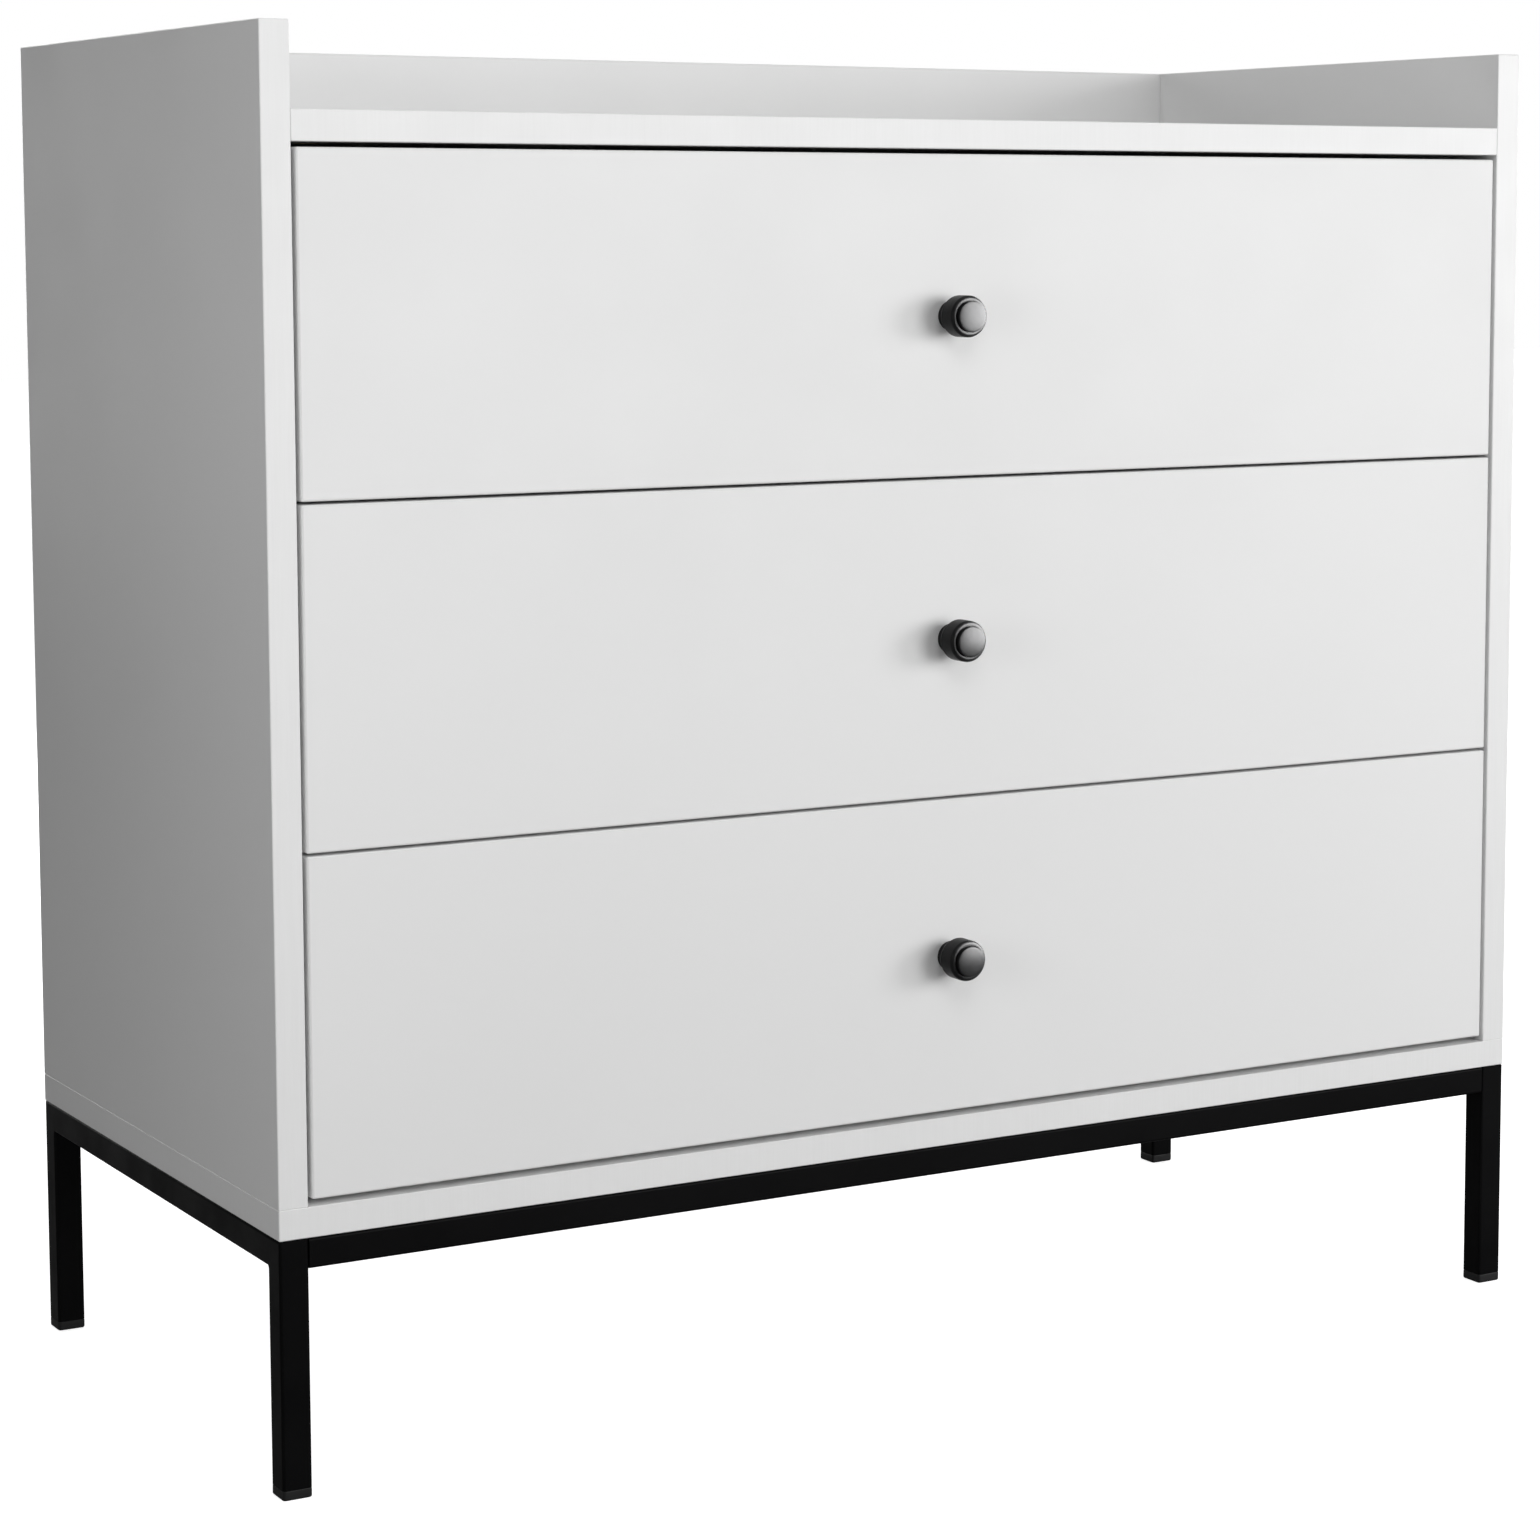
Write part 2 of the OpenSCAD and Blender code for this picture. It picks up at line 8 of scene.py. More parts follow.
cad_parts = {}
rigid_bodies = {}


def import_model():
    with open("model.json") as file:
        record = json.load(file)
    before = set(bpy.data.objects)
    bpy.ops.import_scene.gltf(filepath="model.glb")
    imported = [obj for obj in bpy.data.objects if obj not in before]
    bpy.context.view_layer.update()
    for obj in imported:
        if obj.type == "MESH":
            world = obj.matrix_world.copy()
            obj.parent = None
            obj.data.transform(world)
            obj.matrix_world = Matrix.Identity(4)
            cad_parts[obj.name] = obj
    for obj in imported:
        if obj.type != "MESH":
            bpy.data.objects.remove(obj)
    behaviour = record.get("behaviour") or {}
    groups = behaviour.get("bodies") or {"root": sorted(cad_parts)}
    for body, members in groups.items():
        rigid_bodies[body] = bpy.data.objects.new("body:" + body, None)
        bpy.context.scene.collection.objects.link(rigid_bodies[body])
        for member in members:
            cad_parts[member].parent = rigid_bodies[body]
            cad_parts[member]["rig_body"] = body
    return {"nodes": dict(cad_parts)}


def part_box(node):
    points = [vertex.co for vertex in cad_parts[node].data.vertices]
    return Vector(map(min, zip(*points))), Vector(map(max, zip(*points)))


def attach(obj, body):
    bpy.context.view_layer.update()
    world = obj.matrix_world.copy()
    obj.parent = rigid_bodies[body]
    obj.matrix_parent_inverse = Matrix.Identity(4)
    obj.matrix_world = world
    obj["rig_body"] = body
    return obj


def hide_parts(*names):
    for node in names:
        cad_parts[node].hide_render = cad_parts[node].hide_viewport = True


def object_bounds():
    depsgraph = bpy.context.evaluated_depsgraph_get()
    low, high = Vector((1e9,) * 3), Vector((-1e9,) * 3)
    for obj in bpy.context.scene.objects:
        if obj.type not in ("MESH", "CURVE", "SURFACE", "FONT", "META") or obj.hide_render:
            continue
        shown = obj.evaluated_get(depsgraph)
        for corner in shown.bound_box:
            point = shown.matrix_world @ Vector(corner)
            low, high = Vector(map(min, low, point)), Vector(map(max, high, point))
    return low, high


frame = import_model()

CAD_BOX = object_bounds()
MM = 0.001
CLEAR = MM  # how far a cutter reaches past what it cuts
TINY = 0.001 * MM  # smaller than any step in the model
SAME = 0.0001 * MM  # points this close to a plane lie in it
DRAWERS = ("top_drawer", "middle_drawer", "bottom_drawer")
AXES = {"x": 0, "y": 1, "z": 2}
FLOOR_SIZE = 15.0  # half the side of the floor, in metres
# painted light: how strongly the floor glows to the camera
FLOOR_GLOW = (0.76, 1.0)  # beside the table, and further away
GLOW_REACH = (0.9, 3.5)  # metres from the middle of the table, where those two hold
FLOOR_BOUNCE = 0.32  # how much light the floor throws back on the object
AMBIENT = 0.08  # light from the world on the object
WHITE = (1.0, 1.0, 1.0, 1.0)


# ---------- Node materials ----------

class Shader:
    """A Principled material and the few nodes that every finish here is made from."""

    def __init__(self, name, roughness, metallic=0.0, specular=0.5):
        self.material = bpy.data.materials.new(name)
        self.material.use_nodes = True
        self.tree = self.material.node_tree
        self.bsdf = self.tree.nodes["Principled BSDF"]
        self.set(Roughness=roughness, Metallic=metallic)
        self.bsdf.inputs["Specular IOR Level"].default_value = specular
        self.place = self.tree.nodes.new("ShaderNodeTexCoord").outputs["Object"]

    def set(self, **values):
        for name, value in values.items():
            self.bsdf.inputs[name].default_value = value

    def add(self, kind, **values):
        node = self.tree.nodes.new(kind)
        for name, value in values.items():
            node.inputs[name.replace("_", " ")].default_value = value
        return node

    def link(self, source, target):
        self.tree.links.new(source, target)

    def stretched(self, scale):
        """Object coordinates, in metres, scaled by a different amount along each axis."""
        mapping = self.add("ShaderNodeMapping", Scale=scale)
        self.link(self.place, mapping.inputs["Vector"])
        return mapping.outputs["Vector"]

    def noise(self, scale, detail=2.0, roughness=0.5, place=None):
        node = self.add("ShaderNodeTexNoise", Scale=scale, Detail=detail, Roughness=roughness)
        self.link(place or self.place, node.inputs["Vector"])
        return node.outputs["Fac"]

    def cells(self, scale, place=None):
        node = self.add("ShaderNodeTexVoronoi", Scale=scale)
        self.link(place or self.place, node.inputs["Vector"])
        return node.outputs["Distance"]

    def ramp(self, value, low, high, start=0.3, end=0.7):
        """Maps a grey pattern from start..end to the range low..high."""
        node = self.add(
            "ShaderNodeMapRange", From_Min=start, From_Max=end, To_Min=low, To_Max=high
        )
        self.link(value, node.inputs["Value"])
        return node.outputs["Result"]

    def blend(self, value, first, second):
        """Mixes two colours, or a colour over another node's colour, by a grey pattern."""
        node = self.tree.nodes.new("ShaderNodeMix")
        node.data_type = "RGBA"
        self.link(value, node.inputs["Factor"])
        for name, colour in (("A", first), ("B", second)):
            socket = next(s for s in node.inputs if s.name == name and s.type == "RGBA")
            if isinstance(colour, tuple):
                socket.default_value = (*colour, 1.0)
            else:
                self.link(colour, socket)
        return next(s for s in node.outputs if s.type == "RGBA")

    def bump(self, layers):
        """Stacks bump layers, each (pattern, strength, height in metres)."""
        normal = None
        for pattern, strength, height in layers:
            node = self.add("ShaderNodeBump", Strength=strength, Distance=height)
            self.link(pattern, node.inputs["Height"])
            if normal:
                self.link(normal, node.inputs["Normal"])
            normal = node.outputs["Normal"]
        self.link(normal, self.bsdf.inputs["Normal"])

    def colour(self, source):
        self.link(source, self.bsdf.inputs["Base Color"])

    def rough(self, source):
        self.link(source, self.bsdf.inputs["Roughness"])

    def seen_by_camera(self, hidden, shown):
        """Uses one shader for light that bounces, and another for what the camera sees."""
        mix = self.tree.nodes.new("ShaderNodeMixShader")
        path = self.tree.nodes.new("ShaderNodeLightPath")
        self.link(path.outputs["Is Camera Ray"], mix.inputs["Fac"])
        self.link(hidden, mix.inputs[1])
        self.link(shown, mix.inputs[2])
        self.link(mix.outputs["Shader"], self.tree.nodes["Material Output"].inputs["Surface"])


def make_melamine():
    """White melamine: a faint cloud in the paper, a fine pearl grain in the press plate."""
    s = Shader("white_melamine", 0.45, specular=0.35)
    cloud = s.noise(2.2, 3.0)
    s.colour(s.blend(s.ramp(cloud, 0.0, 1.0), (0.835, 0.836, 0.834), (0.855, 0.856, 0.855)))
    s.rough(s.ramp(s.noise(14.0, 3.0), 0.40, 0.50))
    s.bump([(s.noise(1400.0, 2.0), 0.10, 0.05 * MM), (s.noise(60.0, 2.0), 0.03, 0.3 * MM)])
    return s.material


def make_edge_band():
    """ABS edge band: a little smoother and whiter than the board, with fine lines along it."""
    s = Shader("white_edge_band", 0.38, specular=0.4)
    along = s.stretched((900.0, 900.0, 25.0))
    lines = s.noise(1.0, 2.0, place=along)
    s.colour(s.blend(s.ramp(lines, 0.0, 1.0), (0.845, 0.846, 0.844), (0.862, 0.863, 0.862)))
    s.rough(s.ramp(s.noise(30.0, 2.0), 0.33, 0.43))
    s.bump([(lines, 0.06, 0.04 * MM)])
    return s.material


def make_glue_line():
    """The hairline of adhesive between a board and its edge band."""
    s = Shader("edge_glue_line", 0.7, specular=0.3)
    s.colour(s.blend(s.noise(600.0, 2.0), (0.60, 0.60, 0.59), (0.72, 0.72, 0.71)))
    s.rough(s.ramp(s.noise(300.0), 0.6, 0.8))
    return s.material


def make_chipboard():
    """Bare particle board in grooves and bores: pressed chips and glue."""
    s = Shader("bare_particle_board", 0.9, specular=0.2)
    chips = s.cells(420.0, s.stretched((1.0, 0.35, 1.0)))
    tone = s.blend(s.ramp(chips, 0.0, 1.0, 0.0, 0.8), (0.52, 0.38, 0.23), (0.72, 0.57, 0.38))
    s.colour(s.blend(s.ramp(s.noise(160.0, 4.0), 0.0, 0.5), tone, (0.36, 0.25, 0.14)))
    s.rough(s.ramp(s.noise(90.0), 0.8, 0.95))
    s.bump([(chips, 0.5, 0.4 * MM)])
    return s.material


def make_hardboard():
    """White printed foil over hardboard, with the fibres showing through."""
    s = Shader("white_hardboard", 0.55, specular=0.3)
    fibres = s.noise(1.0, 4.0, 0.6, s.stretched((260.0, 260.0, 90.0)))
    s.colour(s.blend(s.ramp(fibres, 0.0, 1.0), (0.77, 0.77, 0.755), (0.81, 0.81, 0.80)))
    s.rough(s.ramp(s.noise(45.0, 3.0), 0.48, 0.62))
    s.bump([(fibres, 0.25, 0.1 * MM), (s.cells(520.0), 0.08, 0.08 * MM)])
    return s.material


def make_powder_coat():
    """Black powder coat on steel: orange peel, with a slightly duller cloud here and there."""
    s = Shader("black_powder_coat", 0.42, specular=0.06)
    cloud = s.ramp(s.noise(7.0, 3.0), 0.0, 1.0)
    s.colour(s.blend(cloud, (0.0016, 0.0016, 0.0018), (0.0034, 0.0034, 0.0037)))
    s.rough(s.ramp(s.noise(25.0, 3.0), 0.36, 0.50))
    s.bump([(s.noise(850.0, 2.0), 0.22, 0.12 * MM), (s.cells(2300.0), 0.08, 0.04 * MM)])
    return s.material


def make_foot_plastic():
    """Black moulded polyethylene with an eroded mould texture."""
    s = Shader("black_moulded_plastic", 0.5, specular=0.35)
    s.colour(s.blend(s.ramp(s.noise(40.0), 0.0, 1.0), (0.0045, 0.0045, 0.005), (0.009, 0.009, 0.0095)))
    s.rough(s.ramp(s.noise(120.0, 3.0), 0.42, 0.6))
    s.bump([(s.cells(3000.0), 0.2, 0.05 * MM)])
    return s.material


def make_knob_lacquer():
    """Satin black lacquer over turned metal, with a fine grain and a slight ripple in it."""
    s = Shader("satin_black_lacquer", 0.38, specular=0.1)
    cloud = s.ramp(s.noise(160.0, 3.0), 0.0, 1.0)
    s.colour(s.blend(cloud, (0.0035, 0.0035, 0.0038), (0.0065, 0.0065, 0.007)))
    s.rough(s.ramp(s.noise(420.0, 3.0), 0.34, 0.42))
    s.bump([(s.noise(2600.0, 2.0), 0.12, 0.03 * MM), (s.noise(700.0, 2.0), 0.06, 0.05 * MM)])
    return s.material


def make_zinc(name, base, bright, roughness):
    """Zinc plating: a soft spangle, slightly duller clouds and faint rolling marks."""
    s = Shader(name, roughness, metallic=0.85)
    spangle = s.ramp(s.cells(220.0), 0.0, 1.0, 0.0, 0.9)
    s.colour(s.blend(spangle, base, bright))
    s.rough(s.ramp(s.noise(35.0, 3.0), roughness - 0.04, roughness + 0.08))
    rolled = s.noise(1.0, 2.0, place=s.stretched((1500.0, 12.0, 1500.0)))
    s.bump([(rolled, 0.05, 0.02 * MM)])
    return s.material


def make_beech():
    """Steamed beech dowel: long grain with short dark flecks."""
    s = Shader("beech_dowel", 0.6, specular=0.3)
    grain = s.noise(1.0, 4.0, 0.6, s.stretched((900.0, 900.0, 900.0)))
    fleck = s.cells(1500.0)
    wood = s.blend(s.ramp(grain, 0.0, 1.0), (0.60, 0.42, 0.25), (0.73, 0.55, 0.36))
    s.colour(s.blend(s.ramp(fleck, 0.4, 0.0, 0.0, 0.2), wood, (0.40, 0.25, 0.13)))
    s.rough(s.ramp(grain, 0.5, 0.7))
    s.bump([(grain, 0.3, 0.08 * MM)])
    return s.material


def make_floor():
    """Plain pale floor. Its glow to the camera is painted light: an emission that is weaker beside the
    table than further away.
    """
    s = Shader("pale_floor", 0.85, specular=0.05)
    s.colour(s.blend(s.ramp(s.noise(0.6, 3.0), 0.0, 1.0), (0.88, 0.88, 0.88), (0.90, 0.90, 0.90)))
    s.rough(s.ramp(s.noise(3.0), 0.8, 0.9))
    s.bsdf.inputs["Emission Color"].default_value = WHITE
    away = s.tree.nodes.new("ShaderNodeVectorMath")
    away.operation = "LENGTH"
    s.link(s.place, away.inputs[0])
    # painted light: emission strength rises with distance from the middle of the table
    glow = s.ramp(away.outputs["Value"], *FLOOR_GLOW, *GLOW_REACH)
    s.link(glow, s.bsdf.inputs["Emission Strength"])
    dull = s.add("ShaderNodeBsdfDiffuse", Color=(FLOOR_BOUNCE, FLOOR_BOUNCE, FLOOR_BOUNCE, 1.0))
    s.seen_by_camera(dull.outputs["BSDF"], s.bsdf.outputs["BSDF"])
    return s.material


MELAMINE = make_melamine()
EDGE_BAND = make_edge_band()
GLUE_LINE = make_glue_line()
CHIPBOARD = make_chipboard()
HARDBOARD = make_hardboard()
POWDER_COAT = make_powder_coat()
FOOT_PLASTIC = make_foot_plastic()
KNOB_LACQUER = make_knob_lacquer()
ZINC = make_zinc("zinc_plated_steel", (0.64, 0.65, 0.67), (0.74, 0.75, 0.77), 0.34)
RUNNER_ZINC = make_zinc("bright_zinc_sheet", (0.70, 0.71, 0.73), (0.80, 0.81, 0.83), 0.30)
BEECH = make_beech()
KNOBS = bpy.data.collections.new("knobs")
BOARD_MATERIALS = [MELAMINE, EDGE_BAND, GLUE_LINE, CHIPBOARD]


# ---------- Mesh helpers ----------

SHARP_ANGLE = 40.0  # degrees between faces, above which the edge isn't smoothed


def add_piece(name, bm, materials, nodes, sharp_angle=SHARP_ANGLE):
    """Turns a bmesh into a piece that rides and replaces as its CAD nodes do."""
    mesh = bpy.data.meshes.new(name)
    bmesh.ops.recalc_face_normals(bm, faces=bm.faces)
    bm.to_mesh(mesh)
    bm.free()
    for material in materials:
        mesh.materials.append(material)
    piece = bpy.data.objects.new(name, mesh)
    bpy.context.scene.collection.objects.link(piece)
    mesh.shade_smooth()
    mesh.set_sharp_from_angle(angle=math.radians(sharp_angle))
    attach(piece, frame["nodes"][nodes[0]]["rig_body"])
    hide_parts(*nodes)
    return piece


def weigh_normals(piece):
    """Keeps flat faces flat beside their rounded edges."""
    modifier = piece.modifiers.new("flat_faces", "WEIGHTED_NORMAL")
    modifier.keep_sharp = True
    modifier.weight = 100


def cut(piece, cutter_bm, wall_slot):
    """Takes a bmesh's volume out of a piece. wall_slot is the material slot of the new walls."""
    mesh = bpy.data.meshes.new("cutter")
    bmesh.ops.recalc_face_normals(cutter_bm, faces=cutter_bm.faces)
    for face in cutter_bm.faces:
        face.material_index = wall_slot
    cutter_bm.to_mesh(mesh)
    cutter_bm.free()
    for material in piece.data.materials:
        mesh.materials.append(material)
    cutter = bpy.data.objects.new("cutter", mesh)
    bpy.context.scene.collection.objects.link(cutter)
    modifier = piece.modifiers.new("cut", "BOOLEAN")
    modifier.operation = "DIFFERENCE"
    modifier.solver = "EXACT"
    modifier.object = cutter
    graph = bpy.context.evaluated_depsgraph_get()
    result = bpy.data.meshes.new_from_object(piece.evaluated_get(graph), depsgraph=graph)
    piece.modifiers.remove(modifier)
    old = piece.data
    piece.data = result
    result.name = old.name
    bpy.data.meshes.remove(old)
    bpy.data.objects.remove(cutter)
    bpy.data.meshes.remove(mesh)
    piece.data.shade_smooth()
    piece.data.set_sharp_from_angle(angle=math.radians(SHARP_ANGLE))


def add_box(bm, low, high):
    """A plain box between two corners, added to a bmesh."""
    low, high = Vector(low), Vector(high)
    centre, size = (low + high) / 2, high - low
    for v in bmesh.ops.create_cube(bm, size=1.0)["verts"]:
        v.co = Vector(centre[i] + v.co[i] * size[i] for i in range(3))


def add_cylinder(bm, start, end, radius, sides=40):
    """A cylinder between two points, added to a bmesh."""
    start, end = Vector(start), Vector(end)
    axis = end - start
    turn = axis.to_track_quat("Z", "Y").to_matrix().to_4x4()
    bmesh.ops.create_cone(
        bm, cap_ends=True, segments=sides, radius1=radius, radius2=radius, depth=axis.length,
        matrix=Matrix.Translation((start + end) / 2) @ turn,
    )


def join_rings(bm, first, second):
    """Faces between two closed rings of as many vertices each."""
    for i in range(len(first)):
        j = (i + 1) % len(first)
        bm.faces.new((first[i], first[j], second[j], second[i]))


def add_loft(bm, levels):
    """Joins closed rings of points, given level by level, and caps both ends."""
    rings = [[bm.verts.new(p) for p in level] for level in levels]
    for below, above in zip(rings, rings[1:]):
        join_rings(bm, below, above)
    bm.faces.new(list(reversed(rings[0])))
    bm.faces.new(rings[-1])


def round_edges(bm, edges, radius, segments, clamp=True):
    bmesh.ops.bevel(
        bm, geom=edges, offset=radius, offset_type="OFFSET", segments=segments, profile=0.5,
        affect="EDGES", clamp_overlap=clamp,
    )


def arc(centre, radius, start, end, steps):
    """Points on an arc, angles in degrees."""
    for i in range(steps + 1):
        a = math.radians(start + (end - start) * i / steps)
        yield (centre[0] + radius * math.cos(a), centre[1] + radius * math.sin(a))


def islands(node):
    """The box of each separate solid in a CAD node, as (low, high) pairs."""
    bm = bmesh.new()
    bm.from_mesh(frame["nodes"][node].data)
    bmesh.ops.remove_doubles(bm, verts=bm.verts, dist=TINY)
    left = set(bm.verts)
    boxes = []
    while left:
        stack, group = [left.pop()], []
        while stack:
            v = stack.pop()
            group.append(v.co)
            for edge in v.link_edges:
                other = edge.other_vert(v)
                if other in left:
                    left.remove(other)
                    stack.append(other)
        boxes.append(tuple(
            Vector(pick(co[i] for co in group) for i in range(3)) for pick in (min, max)
        ))
    bm.free()
    return sorted(boxes, key=lambda b: tuple(round(c, 5) for c in b[0]))


# ---------- Boards ----------

BAND_T = 1.0 * MM  # thickness of an edge band
GLUE_T = 0.1 * MM
BROKEN_EDGE = 0.4 * MM  # on edges that butt against another board
CARCASS_R = 0.8 * MM  # on the edges of the carcass and the drawer boxes
FRONT_R = 1.2 * MM
SHEET_R = 0.3 * MM
BORE_PLAY = 0.1 * MM  # between a cam and its bore
GROOVE_PLAY = 0.2 * MM  # between a hardboard's face and its groove
GROOVE_END_PLAY = 0.5 * MM
ALONG_AXIS = 1 - 1e-4  # a face normal this long on one axis is along it
BAND_SLOT, GLUE_SLOT, CORE_SLOT = 1, 2, 3  # places in BOARD_MATERIALS


def side_of(normal):
    """The side of a box that a face normal belongs to, such as '-y'."""
    axis = max(range(3), key=lambda i: abs(normal[i]))
    return ("+" if normal[axis] > 0 else "-") + "xyz"[axis]


def rounded_board(bm, low, high, radius, butt):
    """A box with rounded edges. Edges of the sides in butt are only broken."""
    add_box(bm, low, high)
    bm.normal_update()
    soft = [e for e in bm.edges if not {side_of(f.normal) for f in e.link_faces} & set(butt)]
    if soft:
        round_edges(bm, soft, radius, 4)
    for side in butt:
        axis = AXES[side[1]]
        plane = high[axis] if side[0] == "+" else low[axis]
        rim = [
            e for e in bm.edges
            if all(abs(v.co[axis] - plane) < SAME for v in e.verts)
            and any(abs(f.normal[axis]) < ALONG_AXIS for f in e.link_faces)
        ]
        round_edges(bm, rim, BROKEN_EDGE, 1)
        bm.normal_update()


def mark_bands(bm, low, high, bands):
    """Splits the banded sides off with a glue line, and gives them the band's material."""
    for side in bands:
        axis = AXES[side[1]]
        sign = 1 if side[0] == "+" else -1
        plane = high[axis] if sign > 0 else low[axis]
        normal = Vector((0, 0, 0))
        normal[axis] = 1
        for depth in (BAND_T, BAND_T + GLUE_T):
            point = Vector((0, 0, 0))
            point[axis] = plane - sign * depth
            bmesh.ops.bisect_plane(
                bm, geom=bm.verts[:] + bm.edges[:] + bm.faces[:], plane_co=point,
                plane_no=normal, dist=SAME,
            )
        for face in bm.faces:
            depth = sign * (plane - face.calc_center_median()[axis])
            if depth < BAND_T - TINY:
                face.material_index = BAND_SLOT
            elif depth < BAND_T + GLUE_T - TINY and face.material_index != BAND_SLOT:
                face.material_index = GLUE_SLOT


def board(node, radius=CARCASS_R, bands=(), butt=()):
    """A laminated board in the place of a CAD node."""
    low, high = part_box(node)
    bm = bmesh.new()
    rounded_board(bm, low, high, radius, butt)
    mark_bands(bm, low, high, bands)
    return add_piece(node + "_board", bm, BOARD_MATERIALS, [node])


def sheet(node):
    """A hardboard sheet in the place of a CAD node."""
    bm = bmesh.new()
    rounded_board(bm, *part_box(node), SHEET_R, ())
    weigh_normals(add_piece(node + "_sheet", bm, [HARDBOARD], [node]))


def cam_bores(node, board_low, board_high):
    """Cutter for the bores of those cams that sit in a board: (low, high) gives its box."""
    bm = bmesh.new()
    for low, high in islands(node):
        centre = (low + high) / 2
        if not all(board_low[i] < centre[i] < board_high[i] for i in range(3)):
            continue
        size = high - low
        axis = min(range(3), key=lambda i: min(board_high[i] - high[i], low[i] - board_low[i]))
        outward = 1 if board_high[axis] - high[axis] < low[axis] - board_low[axis] else -1
        direction = Vector((0, 0, 0))
        direction[axis] = outward
        radius = max(size[i] for i in range(3) if i != axis) / 2 + BORE_PLAY
        half = size[axis] / 2
        add_cylinder(bm, centre - direction * half, centre + direction * (half + MM), radius)
    return bm


def groove_cutter(node, thin="y"):
    """Cutter for the grooves round a hardboard node that is thin along one axis."""
    low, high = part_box(node)
    room = Vector(GROOVE_PLAY if i == AXES[thin] else GROOVE_END_PLAY for i in range(3))
    bm = bmesh.new()
    add_box(bm, low - room, high + room)
    return bm


def build_carcass():
    back = "back_panel"
    layout = {
        "left_side_panel": dict(bands=("-y", "+y", "+z"), butt=("-z",)),
        "right_side_panel": dict(bands=("-y", "+y", "+z"), butt=("-z",)),
        "top_panel": dict(bands=("-y",), butt=("-x", "+x")),
        "rim_board": dict(bands=("+z",), butt=("-x", "+x", "-z")),
        "bottom_panel": dict(bands=("-y", "-x", "+x"), butt=("+z",)),
    }
    for node, form in layout.items():
        piece = board(node, **form)
        if node != "rim_board":
            cut(piece, groove_cutter(back), CORE_SLOT)
        bores = cam_bores("carcass_cams", *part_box(node))
        if bores.verts:
            cut(piece, bores, CORE_SLOT)
        else:
            bores.free()
        weigh_normals(piece)
    sheet(back)


def build_drawer(drawer):
    """Front, box boards and bottom of one drawer."""
    bottom = drawer + "_bottom"
    front = board(drawer + "_front", radius=FRONT_R, bands=("-x", "+x", "-z", "+z"))
    cut(front, groove_cutter(bottom, thin="z"), CORE_SLOT)
    weigh_normals(front)
    for side in ("left", "right"):
        node = f"{drawer}_{side}_side"
        piece = board(node, bands=("+z",), butt=("-y",))
        cut(piece, groove_cutter(bottom, thin="z"), CORE_SLOT)
        cut(piece, cam_bores(drawer + "_cams", *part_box(node)), CORE_SLOT)
        weigh_normals(piece)
    weigh_normals(board(drawer + "_back", bands=("+z",), butt=("-x", "+x")))
    sheet(bottom)


# ---------- Leg frame ----------

TUBE_R = 1.8 * MM  # outer corners of the tube
TUBE_WALL = 1.5 * MM
WELD_R = 1.6 * MM  # ground weld between a leg and its side rail
RAIL_GAP = 0.35 * MM  # between a cross rail and the leg beside it
DRIVER_R = 5 * MM  # hole for the screwdriver in a rail's lower wall
RIBS = 3  # on a foot's plug
FIRST_RIB = 1.5 * MM  # above the end of the leg
RIB_PITCH = 4.2 * MM
RIB_DEPTH = 0.4 * MM


def add_prism(bm, outline, low, high):
    """Extrudes an outline drawn in Y and Z from one X to another."""
    rings = [[bm.verts.new((x, y, z)) for y, z in outline] for x in (low, high)]
    bm.faces.new(rings[0])
    bm.faces.new(reversed(rings[1]))
    join_rings(bm, rings[1], rings[0])


def arch(y0, y1, z0, z1, t):
    """Outline of two legs and the rail between their tops, t thick."""
    return [
        (y0, z0), (y0, z1), (y1, z1), (y1, z0),
        (y1 - t, z0), (y1 - t, z1 - t), (y0 + t, z1 - t), (y0 + t, z0),
    ]


def driver_holes(low, high):
    """Cutter for the holes in the lower wall of a rail, under the screws above it."""
    bm = bmesh.new()
    for head_low, head_high in islands("frame_screws"):
        centre = (head_low + head_high) / 2
        if low.x < centre.x < high.x and low.y < centre.y < high.y:
            below = (centre.x, centre.y, low.z - CLEAR)
            above = (centre.x, centre.y, low.z + 2 * TUBE_WALL)
            add_cylinder(bm, below, above, DRIVER_R)
    return bm


def build_side_frame(side):
    """Two legs welded to their rail: one hollow piece, ground smooth at the joints."""
    nodes = [f"front_{side}_leg", f"rear_{side}_leg", f"{side}_rail"]
    front_low, front_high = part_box(nodes[0])
    rear_low, rear_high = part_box(nodes[1])
    rail_low, rail_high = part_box(nodes[2])
    size = rail_high.z - rail_low.z
    ends = front_low.z
    outer = arch(front_low.y, rear_high.y, ends, front_high.z, size)
    bm = bmesh.new()
    add_prism(bm, outer, front_low.x, front_high.x)
    bmesh.ops.recalc_face_normals(bm, faces=bm.faces)
    bm.normal_update()
    inner_corners = [
        e for e in bm.edges
        if abs(e.verts[0].co.x - e.verts[1].co.x) > size / 2
        and all(abs(v.co.z - rail_low.z) < TINY for v in e.verts)
    ]
    round_edges(bm, inner_corners, WELD_R, 4, clamp=False)
    lengthwise = [
        e for e in bm.edges
        if abs(e.verts[0].co.x - e.verts[1].co.x) < SAME
        and not all(abs(v.co.z - ends) < SAME for v in e.verts)
    ]
    round_edges(bm, lengthwise, TUBE_R, 5, clamp=False)
    piece = add_piece(f"{side}_side_frame", bm, [POWDER_COAT], nodes)
    hollow = bmesh.new()
    inner = arch(
        front_low.y + TUBE_WALL, rear_high.y - TUBE_WALL, ends - CLEAR, front_high.z - TUBE_WALL,
        size - 2 * TUBE_WALL,
    )
    add_prism(hollow, inner, front_low.x + TUBE_WALL, front_high.x - TUBE_WALL)
    cut(piece, hollow, 0)
    cut(piece, driver_holes(rail_low, rail_high), 0)
    weigh_normals(piece)


